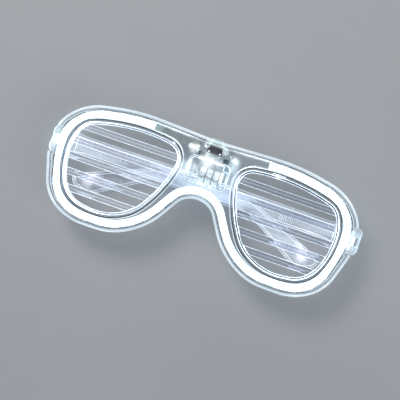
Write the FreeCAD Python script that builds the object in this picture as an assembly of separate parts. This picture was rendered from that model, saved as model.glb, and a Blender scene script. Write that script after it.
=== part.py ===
import FreeCAD, Part
import math
import os

Vector = FreeCAD.Vector
os.makedirs("parts", exist_ok=True)

# Light-up shutter glasses, folded and lying front face up on their own arms.
# X runs to the right, Y up to the brow and Z out of the front face.
# Every piece is drawn with the front face at Z zero. At the end all of them are lifted
# together, so that the lower arm's lowest point is at Z zero and the front is centred.
# Sizes are in millimetres.

# Front view of the frame. Heights are measured from the top of the nose arch.
frame_half_width = 80.4
lobe_drop = 31.2
rim_band = 8.9
bridge_margin = 4.0
bridge_flare = 4.0
# Corners of the right half, from the top middle round to the top of the nose arch.
# Each row: across as a share of the half width, then up and the fillet radius,
# both as shares of the bridge's height above the arch or of the lobe's drop below it.
upper_outline_shares = [
    (0.000, 1.000, 1.950),
    (0.522, 1.058, 3.385),
    (0.864, 0.885, 0.911),
    (1.004, 0.430, 0.618),
]
lower_outline_shares = [
    (0.994, -0.083, 0.673),
    (0.913, -0.772, 0.721),
    (0.721, -1.000, 0.946),
    (0.452, -0.994, 1.026),
    (0.244, -0.699, 1.282),
    (0.088, -0.045, 0.333),
    (0.000, 0.000, 0.385),
]
# The outline's two corners beside the hinge
side_corners = (3, 4)
# Corners of the right eye opening. Each row: the outline corner that it follows,
# the step from there across and up, and the fillet radius, as shares of the rim's band.
eye_shares = [
    (1, 0.000, -0.910, 10.110),
    (2, -0.404, -1.076, 1.000),
    (3, -1.146, -0.596, 2.753),
    (4, -1.191, -0.517, 3.596),
    (5, -1.169, 0.416, 1.663),
    (7, 0.798, 0.899, 3.236),
    (8, 1.079, 0.640, 2.640),
]
# Its two corners beside the bridge: step up from the outline's corner, and the radius.
eye_low_shares = (0.292, 7.080)
eye_high_shares = (-1.137, 0.888)

# Shells, from the front face backwards and from the outer edge inwards
face_thickness = 1.0
floor_thickness = 1.2
skirt_wall = 1.1
skirt_rim_step = 0.15
cover_gap = 0.3
cover_margin = 0.5
channel_wall = 0.6
channel_pull = 1.4
nub_reach = 0.5
nub_thickness = 1.5
first_nub_left = 54.0
first_nub_width = 2.0
second_nub_left = 60.0
second_nub_width = 2.5

# Light strip and the flexible circuit behind it
strip_height = 3.2
strip_gap = 0.1
strip_left_end = 32.2
strip_right_end = 28.0
ribbon_thickness = 0.25
ribbon_margin = 0.35
tail_sag = 0.3
tail_rise = 0.8
tail_bend_radius = 4.0
tail_overlap = 2.0

# Slatted grilles
grille_rim = 1.2
grille_groove = 0.9
grille_setback = 0.4
slat_count = 5
slat_height = 3.4
slat_edge = 1.3
slat_ridge = 1.9
slat_depth = 2.6
grille_tab_thickness = 1.2
wide_tab_left = 31.0
wide_tab_width = 6.5
thin_tab_left = 20.1
thin_tab_width = 0.8
tab_clearance = 0.05

# Button cells, contacts and their box behind the bridge
cell_radius = 3.95
cell_thickness = 3.6
cell_cap_radius = 3.1
cell_cap_height = 0.25
cell_count = 3
cell_clearance = 0.1
leaf_room = 5.6
box_spare = 1.7
boss_band = 3.2
box_wall = 0.9
bridge_gap = 0.5
box_radius = 2.0
door_thickness = 1.0
contact_thickness = 0.3
contact_width = 5.0
partition_thickness = 1.0
contact_tab_width = 1.8
leaf_bend_radius = 0.9
leaf_slant = 0.45
leaf_height = 6.5
leaf_foot = 0.6
leaf_free_reach = 2.0
tongue_width = 3.0
tongue_thickness = 0.7
tongue_reach = 1.0
screw_radius = 0.8
screw_length = 4.5
screw_head_radius = 1.5
screw_head_height = 0.8
screw_slot_width = 0.4
screw_slot_length = 2.1
screw_slot_depth = 0.35
boss_radius = 1.5
boss_sink = 0.4
screw_clearance = 0.05

# Circuit board, switch, push button and lamps above the box
board_half_width = 9.2
board_height = 7.1
board_thickness = 1.0
board_gap = 0.5
peg_width = 1.2
switch_width = 7.6
switch_depth = 3.3
switch_height = 2.2
switch_corner = 0.3
switch_below_edge = 0.7
plunger_width = 2.4
plunger_height = 1.4
plunger_depth = 0.6
plunger_clearance = 0.1
button_width = 5.4
button_above = 0.8
button_flange_width = 7.0
button_flange_depth = 0.8
button_corner = 0.6
button_clearance = 0.15
flange_gap = 0.1
button_travel = 0.5
lamp_radius = 1.4
lamp_tip_radius = 0.8
lamp_tip_length = 1.0
lamp_length = 4.2
lamp_lead_width = 0.5
lamp_lead_spacing = 2.0
lamp_lead_length = 1.5
lamp_drop = 3.3
right_lamp_tilt = 25.0

# Hinges
hinge_inset = 2.5
hinge_middle = 5.6
lug_height = 4.4
lug_radius = 1.7
lug_foot = 2.8
pivot_radius = 1.0
pivot_length = 2.5
pivot_clearance = 0.05
pocket_inset = 0.9

# Arms. Along is measured from the hinge axis to the tip, out is across the thickness
root_height = 13.4
root_overhang = 5.4
root_chamfer_along = 1.2
root_chamfer_up = 1.8
root_shoulder = 5.0
shoulder_radius = 1.2
knuckle_radius = 2.0
window_height = 4.8
window_reach = 2.2
window_wall = 1.0
web_thickness = 1.6
arm_thickness = 2.2
arm_out = 3.6
ramp_rise = 2.6
ramp_start = 1.4
ramp_end = 7.0
cheek_out = 1.2
arm_tip_room = 10.3
arm_bar_drop = 4.0
hook_drop = 22.0
arm_lean = 1.0
arm_gap = 0.3
border_width = 1.3
panel_depth = 0.5
# Corners of the arm's side view after the root. Each row: along as a share of the arm's
# length, up from the lower edge of the straight bar as a share of the hook's drop,
# and the fillet radius as a share of the hook's drop.
arm_upper_shares = [
    (0.080, 0.445, 0.60),
    (0.652, 0.464, 2.70),
    (0.990, -0.455, 0.06),
]
arm_lower_shares = [
    (1.004, -0.655, 0.26),
    (0.925, -0.850, 0.27),
    (0.715, 0.000, 1.80),
    (0.080, 0.000, 0.60),
]

# Small allowances shared by all pieces
overrun = 2.0
least_radius = 0.05
least_edge = 0.005

# Levels, from the front face down
front_z = 0.0
face_z = front_z - face_thickness
strip_top_z = face_z - strip_gap
ribbon_top_z = strip_top_z - strip_height
floor_top_z = ribbon_top_z - ribbon_thickness
floor_z = floor_top_z - floor_thickness
cell_z = face_z - cell_clearance - cell_radius
door_top_z = cell_z - cell_radius - cell_clearance
box_back_z = door_top_z - door_thickness
board_top_z = ribbon_top_z + board_thickness

# Steps inwards from the outer edge of the frame
cover_edge = skirt_wall + cover_gap
channel_outer = cover_edge + cover_margin
strip_outer = channel_outer + channel_wall + strip_gap
strip_inner = rim_band - grille_rim - grille_groove - channel_wall - strip_gap

# The battery box holds the contact spring, the cells, the contact plate and the partition in a row.
box_width = (box_wall * 2 + leaf_room + cell_count * cell_thickness + contact_thickness
             + partition_thickness + box_spare)
box_height = box_wall * 2 + cell_radius * 2 + cell_clearance + boss_band
stack_left = -box_width / 2 + box_wall + leaf_room
stack_right = stack_left + cell_count * cell_thickness
partition_left = stack_right + contact_thickness

# Places in the front view, from the top of the nose arch up to the brow
box_bottom = strip_inner + bridge_gap + box_wall
box_top = box_bottom + box_height
board_bottom = box_top + board_gap
board_top = board_bottom + board_height
cap_bottom = board_top + button_travel + plunger_clearance
brow_y = cap_bottom + button_flange_depth + flange_gap + skirt_wall
cell_y = box_bottom + box_wall + cell_clearance + cell_radius
boss_x = box_width / 2 - box_wall - boss_radius + boss_sink
boss_y = box_top - box_wall - boss_radius + boss_sink
hinge_low = hinge_middle - lug_height / 2
hinge_high = hinge_middle + lug_height / 2
root_low = hinge_middle - root_height / 2
root_high = hinge_middle + root_height / 2
bar_low = hinge_middle - arm_bar_drop
hinge_half_span = frame_half_width - hinge_inset
arm_length = hinge_half_span * 2 - arm_tip_room
pocket_x = hinge_half_span - pocket_inset

# The upper arm leans towards the frame and just clears the battery door.
box_reach = hinge_half_span + box_width / 2
hinge_z = box_back_z - arm_gap + (arm_out - arm_thickness) - box_reach * math.sin(math.radians(arm_lean))


def flat(x, y, z=0.0):
    """A point given in the front view."""
    return Vector(x, y, z)


def edge_normals(corners):
    """Unit normals of a closed polygon's edges, pointing inwards."""
    count = len(corners)
    area = sum(corners[i][0] * corners[(i + 1) % count][1] - corners[(i + 1) % count][0] * corners[i][1]
               for i in range(count))
    turn = math.copysign(1, area)
    normals = []
    for i in range(count):
        dx = corners[(i + 1) % count][0] - corners[i][0]
        dy = corners[(i + 1) % count][1] - corners[i][1]
        length = math.hypot(dx, dy)
        normals.append((-turn * dy / length, turn * dx / length))
    return normals, turn


def inset_corners(rows, inset):
    """Rows of across, up and fillet radius, moved inwards so that all edges stay parallel."""
    corners = [(row[0], row[1]) for row in rows]
    normals, turn = edge_normals(corners)
    moved = []
    for i, row in enumerate(rows):
        before = normals[i - 1]
        after = normals[i]
        scale = inset / (1 + before[0] * after[0] + before[1] * after[1])
        convex = turn * (before[0] * after[1] - before[1] * after[0]) > 0
        radius = row[2] - inset if convex else row[2] + inset
        moved.append((row[0] + scale * (before[0] + after[0]), row[1] + scale * (before[1] + after[1]),
                      max(radius, least_radius)))
    return moved


def rounded_wire(rows):
    """A closed wire of lines and tangent arcs. A fillet is limited by its two edges, and the least radius is sharp."""
    count = len(rows)
    points = [flat(row[0], row[1]) for row in rows]
    halves = []
    for i in range(count):
        back = (points[i - 1] - points[i]).normalize()
        ahead = (points[(i + 1) % count] - points[i]).normalize()
        halves.append((math.pi - back.getAngle(ahead)) / 2)
    reaches = [rows[i][2] * math.tan(halves[i]) if rows[i][2] > least_radius else 0 for i in range(count)]
    for i in range(count):
        after = (i + 1) % count
        room = (points[after] - points[i]).Length
        wanted = reaches[i] + reaches[after]
        if wanted > room:
            reaches[i] *= room / wanted
            reaches[after] *= room / wanted
    edges = []
    starts = []
    ends = []
    for i in range(count):
        back = (points[i - 1] - points[i]).normalize()
        ahead = (points[(i + 1) % count] - points[i]).normalize()
        radius = reaches[i] / math.tan(halves[i])
        starts.append(points[i] + back * reaches[i])
        ends.append(points[i] + ahead * reaches[i])
        inward = (back + ahead).normalize()
        middle = points[i] + inward * (radius / math.cos(halves[i]) - radius)
        if radius > 0:
            edges.append(Part.Arc(starts[i], middle, ends[i]).toShape())
    for i in range(count):
        after = (i + 1) % count
        if (starts[after] - ends[i]).Length > least_edge:
            edges.append(Part.LineSegment(ends[i], starts[after]).toShape())
    return Part.Wire(Part.__sortEdges__(edges))


def slab(rows, inset, low, high):
    """A plate between two levels whose outline is the rounded polygon moved inwards."""
    face = Part.Face(rounded_wire(inset_corners(rows, inset)))
    face.translate(Vector(0, 0, low))
    return face.extrude(Vector(0, 0, high - low))


def ring(rows, outer, inner, low, high):
    """A wall that follows the outline between two insets."""
    hole = slab(rows, inner, low - overrun, high + overrun)
    return slab(rows, outer, low, high).cut(hole)


def block(left, right, bottom, top, low, high):
    """A box given by its sides in the front view and its two levels."""
    return Part.makeBox(right - left, top - bottom, high - low, Vector(left, bottom, low))


def prism(points, low, high, axis):
    """A solid swept along Y or X from a polygon drawn across that axis."""
    if axis == "Y":
        path = [Vector(p[0], low, p[1]) for p in points]
        sweep = Vector(0, high - low, 0)
    else:
        path = [Vector(low, p[0], p[1]) for p in points]
        sweep = Vector(high - low, 0, 0)
    return Part.Face(Part.makePolygon(path + path[:1])).extrude(sweep)


def rod(radius, start, finish):
    """A round bar between two points."""
    run = finish - start
    return Part.makeCylinder(radius, run.Length, start, run)


def soften(shape, size, level):
    """Chamfers the edges that lie wholly at one level."""
    edges = [edge for edge in shape.Edges
             if abs(edge.BoundBox.ZMin - level) < least_radius and abs(edge.BoundBox.ZMax - level) < least_radius]
    return shape.makeChamfer(size, edges)


def right_outline():
    """Corners of the outline's right half."""
    upper = [(row[0] * frame_half_width, row[1] * brow_y, row[2] * brow_y) for row in upper_outline_shares]
    lower = [(row[0] * frame_half_width, row[1] * lobe_drop, row[2] * lobe_drop) for row in lower_outline_shares]
    return upper + lower


def both_halves(half):
    """The right half of an outline and its mirror image."""
    mirrored = [(-row[0], row[1], row[2]) for row in half[-2:0:-1]]
    return half + mirrored


def channel_half():
    """The right half of the light channel's path. It leaves room for the hinge beside it."""
    rows = right_outline()
    for corner in side_corners:
        across, up, radius = rows[corner]
        rows[corner] = (across - channel_pull, up, radius)
    return rows


def eye_rows(side):
    """One eye opening. Side is 1 on the right and -1 on the left."""
    half = right_outline()
    beside_bridge = box_width / 2 + bridge_margin
    rows = [(beside_bridge, brow_y + eye_high_shares[0] * rim_band, eye_high_shares[1] * rim_band)]
    for corner, across, up, radius in eye_shares:
        rows.append((half[corner][0] + across * rim_band, half[corner][1] + up * rim_band, radius * rim_band))
    rows.append((beside_bridge + bridge_flare, half[-2][1] + eye_low_shares[0] * rim_band,
                 eye_low_shares[1] * rim_band))
    return [(side * row[0], row[1], row[2]) for row in rows]


outline = both_halves(right_outline())
channel = both_halves(channel_half())
sides = {"left": -1, "right": 1}


def hinge_pocket(side):
    """The space that the arm's forked root needs beside the frame."""
    inner = side * pocket_x
    outer = side * (frame_half_width + overrun)
    low = root_low - arm_gap
    high = root_high + arm_gap
    return block(min(inner, outer), max(inner, outer), low, high, floor_z - overrun, front_z + overrun)


def front_shell():
    """Clear cover with the light channel's walls moulded on its back."""
    cover = slab(outline, cover_edge, face_z, front_z)
    walls = ring(channel, channel_outer, channel_outer + channel_wall, floor_top_z, face_z)
    flange = button_flange_width / 2 + cover_gap
    walls = walls.cut(block(-flange, flange, box_top, brow_y + overrun, floor_top_z - overrun, front_z))
    shell = cover.fuse(walls)
    groove = grille_rim + grille_groove
    for side in sides.values():
        eye = eye_rows(side)
        shell = shell.fuse(slab(eye, -groove - channel_wall, floor_top_z, face_z))
        shell = shell.cut(slab(eye, -groove, floor_z - overrun, front_z + overrun))
        shell = shell.cut(hinge_pocket(side))
    return shell.removeSplitter()


def hinge_lug(side):
    """The lug behind each end of the frame, with its two moulded pivots."""
    axis_x = side * hinge_half_span
    inner = side * (hinge_half_span - lug_radius)
    outer = side * (hinge_half_span + lug_radius)
    foot = side * (hinge_half_span - lug_radius - lug_foot)
    lug = prism([(inner, hinge_z), (inner, floor_z - lug_foot / 2), (foot, floor_z), (foot, floor_top_z),
                 (outer, floor_top_z), (outer, hinge_z)], hinge_low, hinge_high, "Y")
    front = block(min(side * pocket_x, outer), max(side * pocket_x, outer), hinge_low, hinge_high,
                  floor_top_z, front_z)
    barrel = rod(lug_radius, Vector(axis_x, hinge_low, hinge_z), Vector(axis_x, hinge_high, hinge_z))
    pivots = rod(pivot_radius, Vector(axis_x, hinge_low - pivot_length, hinge_z),
                 Vector(axis_x, hinge_high + pivot_length, hinge_z))
    return lug.fuse([front, barrel, pivots])


def box_rows():
    """Outline of the battery box and its door."""
    right = box_width / 2
    return [(-right, box_bottom, box_radius), (right, box_bottom, box_radius),
            (right, box_top, box_radius), (-right, box_top, box_radius)]


def box_fittings():
    """The partition beside the cells and the boss for the door's screw."""
    partition = block(partition_left, partition_left + partition_thickness, box_bottom + box_wall / 2,
                      cell_y + cell_radius, door_top_z, face_z)
    boss = Part.makeCylinder(boss_radius, face_z - door_top_z, Vector(boss_x, boss_y, door_top_z))
    hole_radius = screw_radius + screw_clearance
    hole = Part.makeCylinder(hole_radius, screw_length, Vector(boss_x, boss_y, door_top_z - door_thickness))
    return [partition, boss], hole


def contact_slots():
    """Slots in the box's top wall where the contacts' tabs reach the board."""
    slots = []
    low = board_top_z - contact_tab_width - cell_clearance
    for left in (-box_width / 2 + box_wall, stack_right):
        slots.append(block(left - cell_clearance, left + contact_thickness + cell_clearance,
                           box_top - box_wall - overrun, box_top + overrun, low, board_top_z + cell_clearance))
    return slots


def button_window():
    """The hole in the skirt that the push button comes through."""
    half = button_width / 2 + button_clearance
    return block(-half, half, brow_y - skirt_wall - overrun, brow_y + overrun, floor_top_z, face_z)


def gate_nubs():
    """Small remains of the moulding gates on the edge of the right lobe."""
    band = ring(outline, -nub_reach, skirt_wall / 2, face_z - nub_thickness, face_z)
    nubs = []
    for left, width in ((first_nub_left, first_nub_width), (second_nub_left, second_nub_width)):
        nubs.append(band.common(block(left, left + width, -lobe_drop - nub_reach - overrun, -lobe_drop / 2,
                                      floor_z, front_z)))
    return nubs


def back_shell():
    """Clear tray: floor, skirt, battery box, board pegs and hinge lugs."""
    shell = slab(outline, 0, floor_z, front_z - skirt_rim_step)
    shell = shell.cut(slab(outline, skirt_wall, floor_top_z, front_z + overrun))
    for side in sides.values():
        shell = shell.cut(slab(eye_rows(side), -cell_clearance, floor_z - overrun, floor_top_z + overrun))
        shell = shell.cut(hinge_pocket(side))
    shell = shell.fuse(slab(box_rows(), 0, door_top_z, face_z))
    shell = shell.cut(slab(box_rows(), box_wall, door_top_z - overrun, face_z + overrun))
    fittings, screw_hole = box_fittings()
    pegs = []
    for left in (-board_half_width, board_half_width - peg_width):
        pegs.append(block(left, left + peg_width, board_bottom, board_bottom + peg_width, floor_top_z, ribbon_top_z))
    shell = shell.fuse(fittings + pegs + gate_nubs() + [hinge_lug(side) for side in sides.values()])
    return shell.cut(contact_slots() + [button_window(), screw_hole]).removeSplitter()


def grille(side, tab_left, tab_width):
    """Rim with five ridged slats, and a small tab that bears on the channel's wall."""
    eye = eye_rows(side)
    rim = ring(eye, -grille_rim, 0, floor_top_z, front_z - grille_setback)
    field = slab(eye, -grille_rim / 2, floor_top_z, front_z)
    far = frame_half_width
    opening = slab(eye, 0, floor_top_z, front_z).BoundBox
    slat_gap = (opening.YLength - slat_count * slat_height) / (slat_count + 1)
    slats = []
    for i in range(slat_count):
        y = opening.YMax - slat_gap * (i + 1) - slat_height * i - slat_height / 2
        section = [(y - slat_height / 2, -slat_depth - slat_edge / 2), (y, -slat_depth - slat_ridge / 2),
                   (y + slat_height / 2, -slat_depth - slat_edge / 2),
                   (y + slat_height / 2, -slat_depth + slat_edge / 2), (y, -slat_depth + slat_ridge / 2),
                   (y - slat_height / 2, -slat_depth + slat_edge / 2)]
        slats.append(prism(section, -far, far, "X").common(field))
    reach = grille_rim + grille_groove - tab_clearance
    top = front_z - grille_setback
    band = ring(eye, -reach, -grille_rim / 2, top - grille_tab_thickness, top)
    left = min(side * tab_left, side * (tab_left + tab_width))
    tab = band.common(block(left, left + tab_width, opening.Center.y, brow_y * 2, floor_z, front_z))
    return rim.fuse(slats + [tab]).removeSplitter()


def brow_gap():
    """The stretch of the brow that the light strip leaves dark."""
    return block(-strip_left_end, strip_right_end, box_top, box_top + brow_y, floor_z, front_z)


def light_strip():
    """Glowing strip round both eyes and under the nose arch."""
    strip = ring(channel, strip_outer, strip_inner, ribbon_top_z, strip_top_z)
    reach = grille_rim + grille_groove + channel_wall + strip_gap / 2
    for side in sides.values():
        strip = strip.cut(slab(eye_rows(side), -reach, floor_z, front_z))
    return strip.cut(brow_gap()).removeSplitter()


def strip_ribbon():
    """Flexible circuit's tail. It runs from the strip's left end and under the board's edge."""
    middle = (strip_outer + strip_inner) / 2
    half = (strip_inner - strip_outer) / 2 - ribbon_margin
    start = -strip_left_end - tail_overlap
    start_y = outline[1][1] - middle - tail_sag
    bend = -(strip_left_end + board_half_width) / 2
    bend_y = brow_y - middle + tail_rise
    finish = -board_half_width + tail_overlap
    end_y = board_top - half * 2
    rows = [(start, start_y + half, least_radius), (bend, bend_y + half, tail_bend_radius),
            (finish, end_y + half, least_radius), (finish, end_y - half, least_radius),
            (bend, bend_y - half, tail_bend_radius), (start, start_y - half, least_radius)]
    return slab(rows, 0, floor_top_z, ribbon_top_z)


def button_cell(index):
    """One button cell, its negative cap to the left."""
    right = stack_right - index * cell_thickness
    left = right - cell_thickness
    profile = [(left, 0), (left, cell_cap_radius), (left + cell_cap_height, cell_radius),
               (right, cell_radius), (right, 0)]
    points = [flat(p[0], p[1]) for p in profile]
    half = Part.Face(Part.makePolygon(points + points[:1]))
    cell = half.revolve(Vector(0, 0, 0), Vector(1, 0, 0), 360)
    cell.translate(Vector(0, cell_y, cell_z))
    return cell


def contact_tab(left):
    """Tab of a contact that passes the box's top wall and meets the board's edge."""
    return block(left, left + contact_thickness, cell_y, board_bottom, board_top_z - contact_tab_width, board_top_z)


def contact_plate():
    """Flat positive contact between the cells and the partition."""
    low = cell_z - contact_width / 2
    plate = block(stack_right, partition_left, cell_y - contact_width / 2, cell_y + contact_width / 2,
                  low, low + contact_width)
    return plate.fuse(contact_tab(stack_right)).removeSplitter()


def contact_spring():
    """Bent leaf that presses on the cells' negative end."""
    wall = -box_width / 2 + box_wall
    foot = box_bottom + box_radius
    free = foot + leaf_height
    low = cell_z - contact_width / 2
    high = cell_z + contact_width / 2
    thick = contact_thickness
    back = block(wall, wall + thick, foot, free, low, high)
    leaf = [(wall, foot, least_radius), (wall + leaf_foot, foot, least_radius),
            (stack_left, cell_y, leaf_bend_radius), (wall + leaf_free_reach, free, least_radius),
            (wall + leaf_free_reach - leaf_slant, free, least_radius),
            (stack_left - leaf_slant, cell_y, leaf_bend_radius - thick),
            (wall + leaf_foot - leaf_slant, foot + thick, least_radius), (wall, foot + thick, least_radius)]
    return slab(leaf, 0, low, high).fuse([back, contact_tab(wall)]).removeSplitter()


def battery_door():
    """Back cover of the battery box with a countersunk hole and two tongues."""
    door = slab(box_rows(), 0, box_back_z, door_top_z)
    inner = box_bottom + box_wall + least_radius
    tongues = []
    for x in (-box_width / 4, 0):
        tongues.append(block(x, x + tongue_width, inner, inner + tongue_thickness,
                             door_top_z, door_top_z + tongue_reach))
    hole = Part.makeCylinder(screw_radius + screw_clearance, door_thickness + overrun,
                             Vector(boss_x, boss_y, box_back_z))
    sink = Part.makeCylinder(screw_head_radius + screw_clearance, screw_head_height + overrun,
                             Vector(boss_x, boss_y, box_back_z - overrun))
    return door.fuse(tongues).cut([hole, sink]).removeSplitter()


def door_screw():
    """Small cross-headed screw that holds the door."""
    head = Part.makeCylinder(screw_head_radius, screw_head_height, Vector(boss_x, boss_y, box_back_z))
    shank = Part.makeCylinder(screw_radius, screw_length, Vector(boss_x, boss_y, box_back_z))
    reach = screw_slot_length / 2
    half = screw_slot_width / 2
    low = box_back_z - overrun
    high = box_back_z + screw_slot_depth
    across = block(boss_x - reach, boss_x + reach, boss_y - half, boss_y + half, low, high)
    along = block(boss_x - half, boss_x + half, boss_y - reach, boss_y + reach, low, high)
    return head.fuse(shank).cut([across, along]).removeSplitter()


def circuit_board():
    """Board that carries the switch and the lamps."""
    half = board_half_width
    rows = [(-half, board_bottom, least_radius), (half, board_bottom, least_radius),
            (half, board_top, least_radius), (-half, board_top, least_radius)]
    return slab(rows, 0, ribbon_top_z, board_top_z)


switch_top = board_top - switch_below_edge
switch_bottom = switch_top - switch_depth
plunger_low_z = board_top_z + (switch_height - plunger_height) / 2
plunger_high_z = plunger_low_z + plunger_height


def switch_body():
    """Dark body of the push switch with the hole that its stem slides in."""
    half = switch_width / 2
    body = block(-half, half, switch_bottom, switch_top, board_top_z, board_top_z + switch_height)
    body = soften(body, switch_corner, board_top_z + switch_height)
    hole = plunger_width / 2 + plunger_clearance
    depth = plunger_depth + button_travel + plunger_clearance
    return body.cut(block(-hole, hole, switch_top - depth, switch_top + overrun,
                          plunger_low_z - plunger_clearance, plunger_high_z + plunger_clearance))


def switch_plunger():
    """Stem between the switch and the button."""
    half = plunger_width / 2
    return block(-half, half, switch_top - plunger_depth, cap_bottom, plunger_low_z, plunger_high_z)


def button_cap():
    """Clear push button with a flange that keeps it behind the skirt."""
    low = floor_top_z + button_clearance
    high = face_z - button_clearance
    half = button_width / 2
    rows = [(-half, cap_bottom, least_radius), (half, cap_bottom, least_radius),
            (half, brow_y + button_above, button_corner), (-half, brow_y + button_above, button_corner)]
    cap = slab(rows, 0, low, high)
    wide = button_flange_width / 2
    flange = block(-wide, wide, cap_bottom, cap_bottom + button_flange_depth, low, high)
    return cap.fuse(flange).removeSplitter()


def lamp(side, tilt):
    """Round lamp beside the board, its tapered tip pointing outwards and tilted down."""
    along = Vector(1, 0, 0)
    body = Part.makeCylinder(lamp_radius, lamp_length - lamp_tip_length, Vector(0, 0, 0), along)
    tip = Part.makeCone(lamp_radius, lamp_tip_radius, lamp_tip_length,
                        Vector(lamp_length - lamp_tip_length, 0, 0), along)
    centre_z = (face_z + floor_top_z) / 2
    lead_z = board_top_z - centre_z
    half = lamp_lead_width / 2
    leads = []
    for y in (-lamp_lead_spacing / 2, lamp_lead_spacing / 2):
        leads.append(block(-lamp_lead_length, lamp_tip_length, y - half, y + half,
                           lead_z, lead_z + lamp_lead_width))
    shape = body.fuse([tip] + leads).removeSplitter()
    shape.rotate(Vector(0, 0, 0), Vector(0, 0, 1), -tilt)
    if side < 0:
        shape = shape.mirror(Vector(0, 0, 0), Vector(1, 0, 0))
    swing = lamp_radius * math.sin(math.radians(tilt))
    shape.translate(Vector(side * (board_half_width + strip_gap + swing), board_top - lamp_drop, centre_z))
    return shape


def arm_rows():
    """Side view of an arm: along from the hinge axis, up in the frame's own heights."""
    def placed(row):
        return (row[0] * arm_length, bar_low + row[1] * hook_drop, row[2] * hook_drop)
    start = -root_overhang
    rows = [(root_shoulder, root_low, shoulder_radius), (start + root_chamfer_along, root_low, least_radius),
            (start, root_low + root_chamfer_up, least_radius), (start, root_high - root_chamfer_up, least_radius),
            (start + root_chamfer_along, root_high, least_radius), (root_shoulder, root_high, shoulder_radius)]
    return rows + [placed(row) for row in arm_upper_shares + arm_lower_shares]


def arm_shape():
    """An arm in its own frame: X along to the tip, Y up, Z from the outer to the inner side."""
    rows = arm_rows()
    plate = slab(rows, 0, -arm_out, arm_thickness - arm_out)
    panel = slab(rows, border_width, arm_thickness - arm_out - panel_depth, overrun)
    plate = plate.cut(panel.cut(block(-root_overhang - overrun, ramp_end + border_width, root_low - overrun,
                                      root_high + overrun, -arm_out, arm_out)))
    plate_top = arm_thickness - arm_out
    cheek = prism([(-root_overhang, -arm_out), (-root_overhang, -cheek_out), (0, -cheek_out),
                   (ramp_start, plate_top + ramp_rise), (ramp_end, plate_top), (ramp_end, -arm_out)],
                  root_low, root_high, "Y")
    knuckle = rod(knuckle_radius, Vector(0, root_low, 0), Vector(0, root_high, 0))
    outline_trim = slab(rows, 0, -arm_out, arm_out)
    root = cheek.fuse(knuckle).common(outline_trim)
    arm = plate.fuse(root)
    low = hinge_middle - window_height / 2
    high = hinge_middle + window_height / 2
    window = block(-root_overhang + window_wall, window_reach, low, high, -arm_out - overrun, arm_out)
    slot = block(-root_overhang - overrun, 0, low, high, web_thickness - arm_out, arm_out)
    arm = arm.cut([window, slot])
    depth = pivot_length + arm_gap
    bore = rod(pivot_radius + pivot_clearance, Vector(0, hinge_low - depth, 0), Vector(0, hinge_high + depth, 0))
    return arm.cut(bore).removeSplitter()


def folded_arm(side):
    """An arm folded behind the frame. Both lean the same way, so that one passes under the other."""
    arm = arm_shape()
    if side > 0:
        arm = arm.mirror(Vector(0, 0, 0), Vector(1, 0, 0))
    arm.rotate(Vector(0, 0, 0), Vector(0, 1, 0), -arm_lean)
    arm.translate(Vector(side * hinge_half_span, 0, hinge_z))
    return arm


def build():
    """All pieces by node name, with the front face at Z zero."""
    nodes = {
        "front_shell": front_shell(),
        "back_shell": back_shell(),
        "left_grille": grille(-1, thin_tab_left, thin_tab_width),
        "right_grille": grille(1, wide_tab_left, wide_tab_width),
        "light_strip": light_strip(),
        "strip_ribbon": strip_ribbon(),
        "contact_spring": contact_spring(),
        "contact_plate": contact_plate(),
        "battery_door": battery_door(),
        "door_screw": door_screw(),
        "circuit_board": circuit_board(),
        "switch_body": switch_body(),
        "switch_plunger": switch_plunger(),
        "button_cap": button_cap(),
        "left_lamp": lamp(-1, 0),
        "right_lamp": lamp(1, right_lamp_tilt),
        "left_arm": folded_arm(-1),
        "right_arm": folded_arm(1),
    }
    for index in range(cell_count):
        nodes["button_cell_%d" % (index + 1)] = button_cell(index)
    return nodes


def main():
    nodes = build()
    lift = -min(shape.BoundBox.ZMin for shape in nodes.values())
    low_y = min(shape.BoundBox.YMin for shape in nodes.values())
    high_y = max(shape.BoundBox.YMax for shape in nodes.values())
    shift = Vector(0, -(low_y + high_y) / 2, lift)
    for name, shape in nodes.items():
        shape.translate(shift)
        print(name, "solids", len(shape.Solids), "volume %.1f" % shape.Volume, "valid", shape.isValid())
        shape.exportStep("parts/%s.step" % name)
    print("shift", shift)
    print("left hinge", Vector(-hinge_half_span, hinge_middle, hinge_z) + shift)
    print("front face", front_z + lift, "floor back", floor_z + lift, "door back", box_back_z + lift)


main()
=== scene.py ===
"""Light up party glasses: finishes, thin pieces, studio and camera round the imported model."""
import math

import bmesh
import bpy
from mathutils import Euler, Matrix, Vector


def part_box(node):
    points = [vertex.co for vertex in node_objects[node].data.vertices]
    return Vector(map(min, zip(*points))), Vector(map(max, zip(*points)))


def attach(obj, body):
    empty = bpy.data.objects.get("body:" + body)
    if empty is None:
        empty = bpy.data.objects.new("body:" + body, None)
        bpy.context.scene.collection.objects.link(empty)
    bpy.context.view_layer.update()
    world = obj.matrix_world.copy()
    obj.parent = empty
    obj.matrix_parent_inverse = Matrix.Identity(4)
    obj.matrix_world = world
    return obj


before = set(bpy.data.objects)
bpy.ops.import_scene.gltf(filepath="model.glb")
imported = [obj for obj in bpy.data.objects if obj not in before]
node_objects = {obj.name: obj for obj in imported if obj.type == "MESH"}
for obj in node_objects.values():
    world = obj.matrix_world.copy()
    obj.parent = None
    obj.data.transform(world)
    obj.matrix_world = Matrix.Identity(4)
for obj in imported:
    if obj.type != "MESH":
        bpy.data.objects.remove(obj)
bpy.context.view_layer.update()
MM = 0.001

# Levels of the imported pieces, in metres
STRIP_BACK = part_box("light_strip")[0].z
BOARD_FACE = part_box("circuit_board")[1].z
SWITCH_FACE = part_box("switch_body")[1].z


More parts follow.
